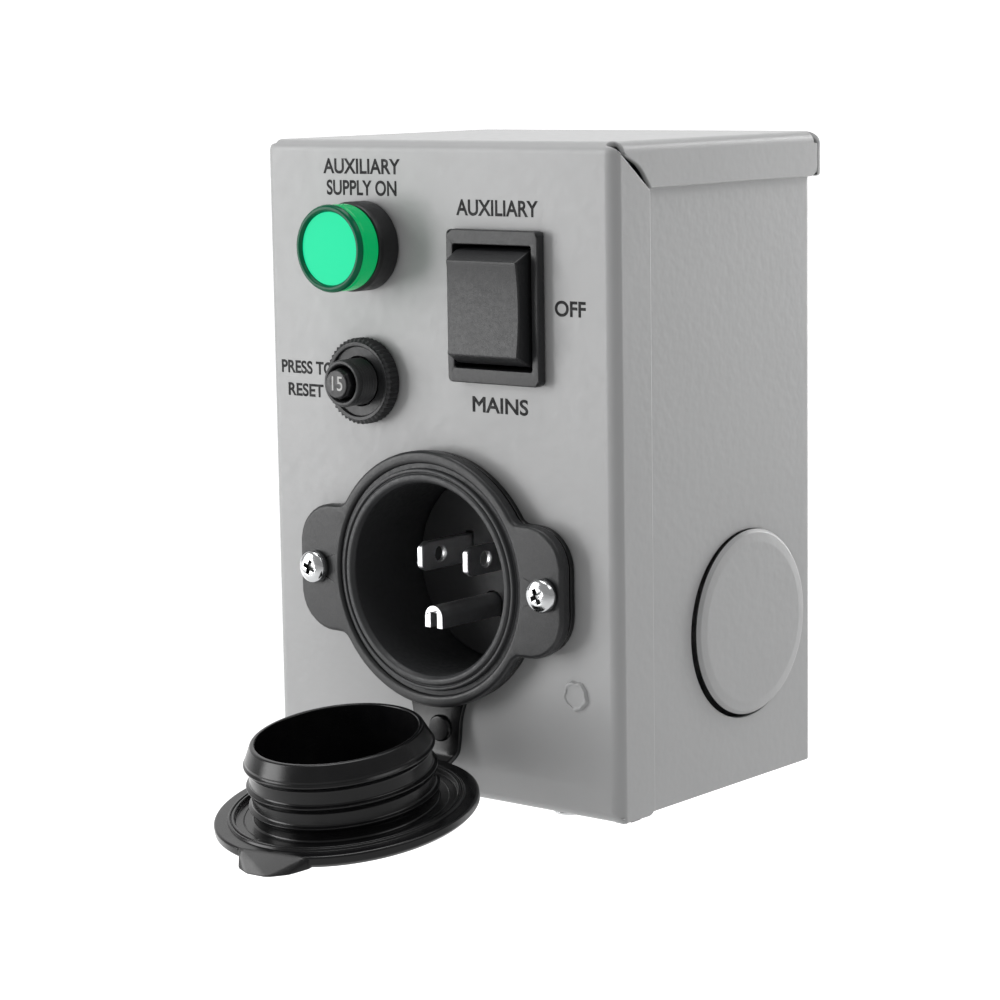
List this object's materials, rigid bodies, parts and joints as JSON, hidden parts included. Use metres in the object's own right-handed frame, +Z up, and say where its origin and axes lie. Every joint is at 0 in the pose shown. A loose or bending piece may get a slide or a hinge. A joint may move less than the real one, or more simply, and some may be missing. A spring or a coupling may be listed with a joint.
{
  "type": "generator inlet box",
  "caption": "Wall-mounted steel box with drip hood, flanged mains inlet under a rubber lid, push-to-reset breaker, pilot lamp and rocker switch.",
  "frame": {"origin": "centre of the face of the pad that stands on the wall", "axes": "+X to the right as seen from the front, +Y into the wall, +Z up"},
  "size_m": [0.096, 0.1353, 0.1453],
  "materials": {
    "painted_sheet": "light grey satin powder coat",
    "charcoal_plastic": "fine-grained moulded plastic",
    "black_plastic": "satin black moulded plastic",
    "black_rubber": "glossy moulded rubber",
    "green_lens": "lit translucent green plastic",
    "clear_lens": "clear",
    "bright_screw": "bright nickel plate",
    "plated_steel": "bright nickel-plated blade",
    "contact_brass": "stamped brass",
    "black_insulation": "smooth vinyl",
    "white_insulation": "smooth vinyl",
    "green_insulation": "smooth vinyl"
  },
  "bodies": {
    "root": {"front_cover": "painted_sheet", "back_box": "painted_sheet", "side_knockout_right": "painted_sheet", "side_knockout_left": "painted_sheet", "bottom_knockout": "painted_sheet", "cover_screw_left": "bright_screw", "cover_screw_right": "bright_screw", "ground_stud": "painted_sheet", "ground_ring": "plated_steel", "ground_nut": "plated_steel", "lamp_bezel": "black_plastic", "lamp_lens": "green_lens", "lamp_body": "black_plastic", "lamp_nut": "black_plastic", "lamp_led": "clear_lens", "lamp_tab_line": "plated_steel", "lamp_tab_neutral": "plated_steel", "breaker_nut": "charcoal_plastic", "breaker_washer": "plated_steel", "breaker_case": "black_plastic", "breaker_spring": "plated_steel", "breaker_tab_line": "plated_steel", "breaker_tab_load": "plated_steel", "switch_housing": "charcoal_plastic", "switch_pin": "plated_steel", "switch_tab_left_top": "contact_brass", "switch_tab_left_middle": "contact_brass", "switch_tab_left_bottom": "contact_brass", "switch_tab_right_top": "contact_brass", "switch_tab_right_middle": "contact_brass", "switch_tab_right_bottom": "contact_brass", "inlet_housing": "charcoal_plastic", "inlet_insert": "black_plastic", "inlet_blade_line": "plated_steel", "inlet_blade_neutral": "plated_steel", "inlet_ground_pin": "plated_steel", "inlet_screw_left": "bright_screw", "inlet_screw_right": "bright_screw", "inlet_nut_left": "plated_steel", "inlet_nut_right": "plated_steel", "terminal_screw_line": "contact_brass", "terminal_screw_neutral": "plated_steel", "terminal_screw_ground": "green_insulation", "inlet_gasket": "black_rubber", "lead_inlet_line": "black_insulation", "lead_breaker_load": "black_insulation", "lead_inlet_neutral": "white_insulation", "lead_lamp_line": "black_insulation", "lead_lamp_neutral": "white_insulation", "lead_inlet_ground": "green_insulation"},
    "lid": {"inlet_lid": "black_rubber"},
    "rocker": {"switch_rocker": "charcoal_plastic"},
    "contacts": {"switch_contact_left": "contact_brass", "switch_contact_right": "contact_brass"},
    "button": {"breaker_button": "black_plastic"}
  },
  "joints": [
    {"name": "lid_hinge", "type": "hinge", "parent": "root", "child": "lid", "pos_m": [0.0008, -0.0762, -0.0552], "axis": [-1, 0, 0], "range_deg": [-15, 99.3]},
    {"name": "rocker_tilt", "type": "hinge", "parent": "root", "child": "rocker", "pos_m": [0.0179, -0.073, 0.036], "axis": [1, 0, 0], "range_deg": [-10, 10]},
    {"name": "contact_tilt", "type": "hinge", "parent": "root", "child": "contacts", "pos_m": [0.0179, -0.057, 0.036], "axis": [1, 0, 0], "range_deg": [-6.5, 6.5]},
    {"name": "button_travel", "type": "slide", "parent": "root", "child": "button", "axis": [0, -1, 0], "range_m": [-0.001, 0.0025], "stiffness_N_per_m": 60}
  ],
  "couplings": [
    {"joint": "contact_tilt", "follows": "rocker_tilt", "ratio": -0.6}
  ]
}
